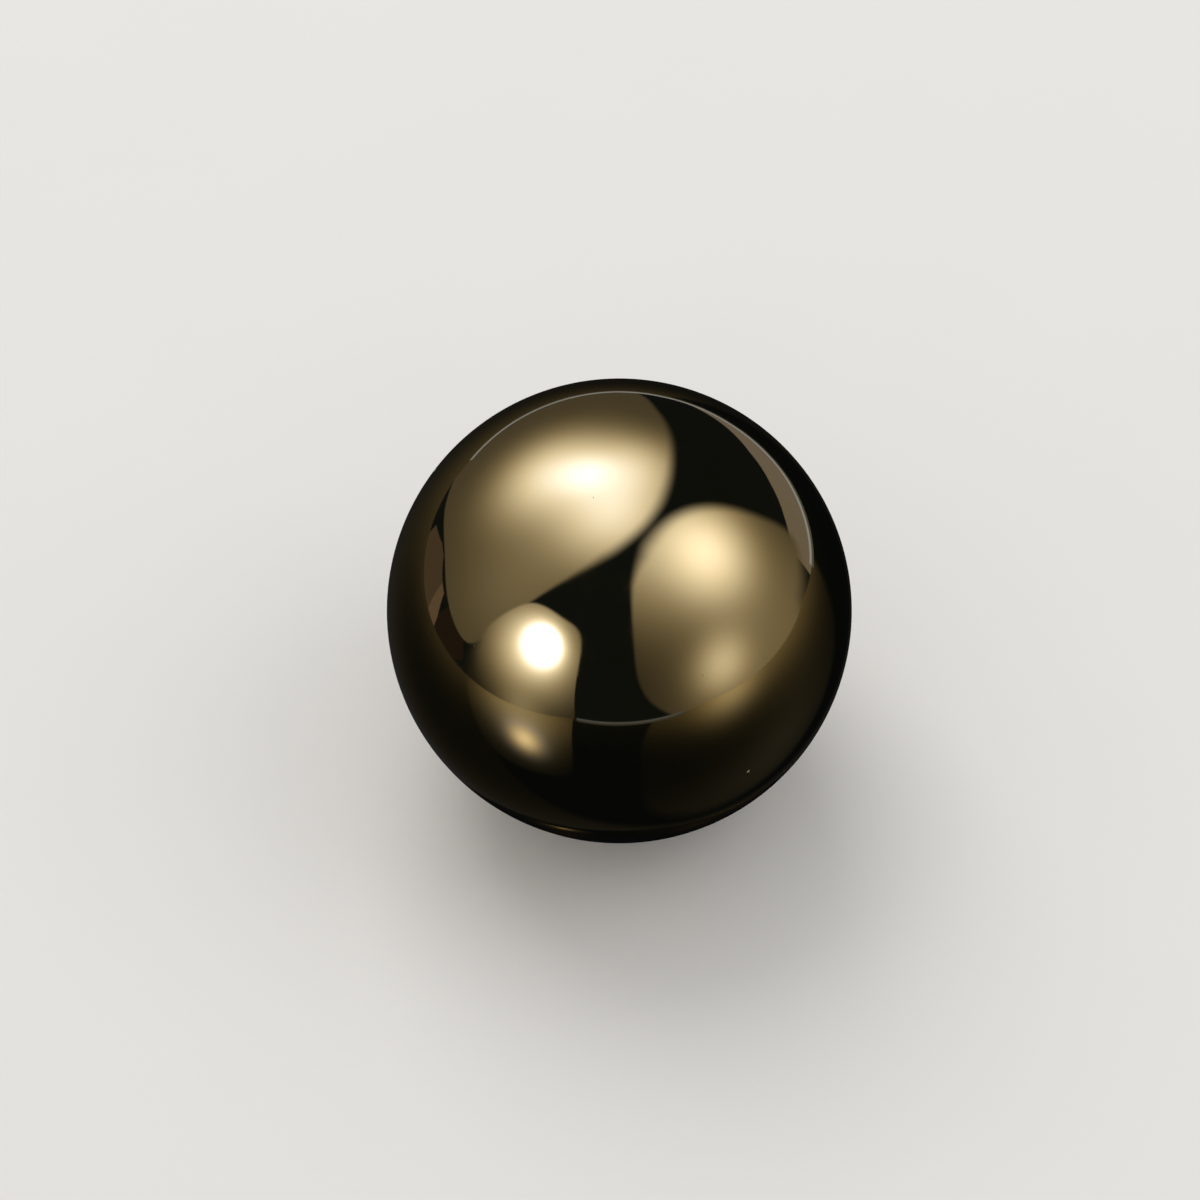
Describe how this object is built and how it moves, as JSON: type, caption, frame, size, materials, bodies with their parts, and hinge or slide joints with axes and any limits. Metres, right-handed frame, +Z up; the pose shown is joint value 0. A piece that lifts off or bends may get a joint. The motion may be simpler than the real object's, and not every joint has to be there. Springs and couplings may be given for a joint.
{
  "type": "steel ball",
  "caption": "Solid steel ball with a gold-toned mirror finish, used loose as a weight, roller, press ball or desk ornament.",
  "frame": {"origin": "centre of the ball", "axes": "+Z up, through the point that touches what the ball sits on; a ball is the same about every axis, so X and Y may be turned freely"},
  "size_m": [0.04, 0.04, 0.04],
  "materials": {
    "gold_mirror_finish": "polished"
  },
  "bodies": {
    "root": {"ball": "gold_mirror_finish"}
  },
  "joints": []
}
